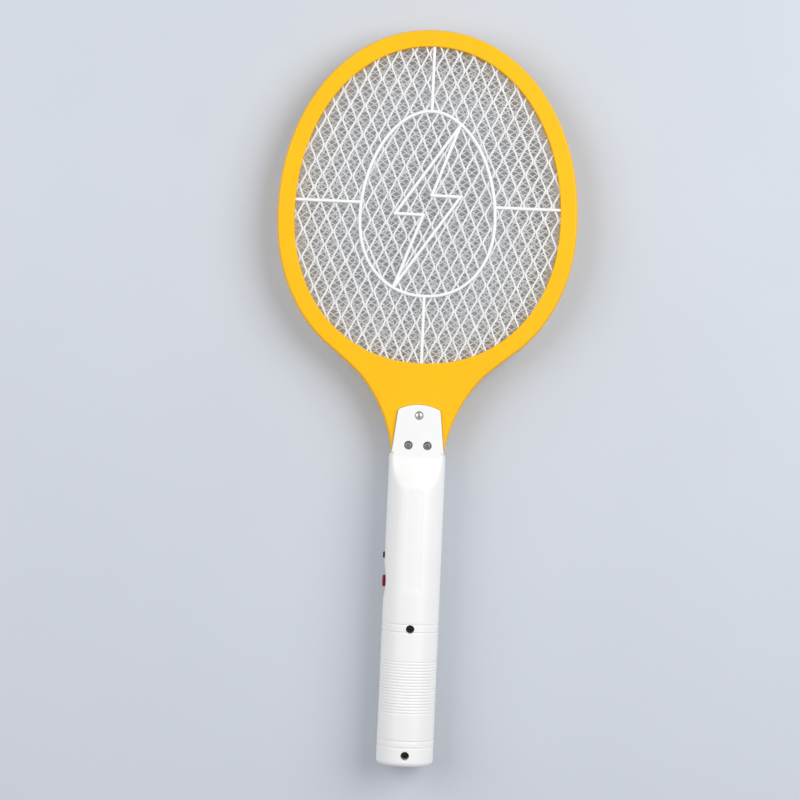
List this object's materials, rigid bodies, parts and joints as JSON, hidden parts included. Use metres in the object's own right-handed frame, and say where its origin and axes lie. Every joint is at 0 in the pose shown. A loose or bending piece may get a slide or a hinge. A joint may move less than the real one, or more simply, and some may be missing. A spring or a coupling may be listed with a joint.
{
  "type": "electric fly swatter",
  "caption": "Racket-shaped electric fly swatter: oval yellow head with layered meshes and a guard, white battery handle with a push button and slide switch",
  "frame": {"origin": "under the middle of the object's bounding box, on the surface that the handle's butt rests on", "axes": "+X to the side away from the push button, +Y from the butt of the handle to the tip of the head, +Z out of the face with the screws"},
  "size_m": [0.1846, 0.451, 0.035],
  "materials": {
    "yellow_plastic": "moulded yellow plastic, satin gloss",
    "white_plastic": "moulded white plastic, satin gloss",
    "white_guard": "moulded white plastic",
    "mesh_metal": "expanded metal, light grey coat",
    "bright_steel": "zinc plated steel screw",
    "dark_steel": "dark zinc plated steel screw",
    "red_plastic": "moulded red plastic",
    "black_plastic": "moulded black plastic",
    "spring_steel": "nickel plated spring wire",
    "contact_metal": "nickel plated sheet",
    "board": "paper phenolic board with a solder mask",
    "ferrite": "sintered ferrite",
    "bobbin_plastic": "moulded bobbin",
    "copper": "enamelled copper wire",
    "film_red": "dipped film capacitor",
    "film_orange": "dipped film capacitor",
    "epoxy_black": "moulded epoxy",
    "resistor_coat": "painted resistor body",
    "led_red": "clear red epoxy",
    "cell_sleeve": "plain sleeve on a steel can",
    "wire_red": "vinyl insulation",
    "wire_black": "vinyl insulation"
  },
  "bodies": {
    "racket": {"rear_frame": "yellow_plastic", "front_frame": "yellow_plastic", "rear_mesh": "mesh_metal", "high_voltage_mesh": "mesh_metal", "front_mesh": "mesh_metal", "rear_guard": "white_guard", "front_guard": "white_guard", "rear_spacer": "yellow_plastic", "front_spacer": "yellow_plastic", "rear_shell": "white_plastic", "front_shell": "white_plastic", "neck_screws": "bright_steel", "handle_screws": "dark_steel", "button_spring": "spring_steel", "push_switch": "black_plastic", "slide_switch": "contact_metal", "circuit_board": "board", "transformer_core": "ferrite", "transformer_bobbin": "bobbin_plastic", "transformer_winding": "copper", "storage_capacitor": "film_red", "multiplier_capacitor_1": "film_orange", "multiplier_capacitor_2": "film_orange", "diode_1": "epoxy_black", "diode_2": "epoxy_black", "diode_3": "epoxy_black", "transistor": "epoxy_black", "bleed_resistor": "resistor_coat", "base_resistor": "resistor_coat", "indicator_led": "led_red", "contact_bridge": "contact_metal", "contact_positive": "contact_metal", "contact_negative": "contact_metal", "bridge_spring": "spring_steel", "negative_spring": "spring_steel", "aa_cell_1": "cell_sleeve", "aa_cell_2": "cell_sleeve", "high_voltage_wire": "wire_red", "ground_wire": "wire_black", "ground_link": "wire_black", "battery_wire_positive": "wire_red", "battery_wire_negative": "wire_black"},
    "push_button": {"push_button": "red_plastic"},
    "slide_knob": {"slide_knob": "black_plastic"},
    "battery_cover": {"battery_cover": "white_plastic"}
  },
  "joints": [
    {"name": "push_button_press", "type": "slide", "parent": "racket", "child": "push_button", "axis": [1, 0, 0], "range_m": [0, 0.0015], "stiffness_N_per_m": 600, "springref_m": -0.001, "deforming": ["button_spring"]},
    {"name": "slide_knob_travel", "type": "slide", "parent": "racket", "child": "slide_knob", "axis": [0, 1, 0], "range_m": [0, 0.003]},
    {"name": "battery_cover_lift", "type": "slide", "parent": "racket", "child": "battery_cover", "axis": [0, 0, -1], "range_m": [0, 0.04]}
  ]
}
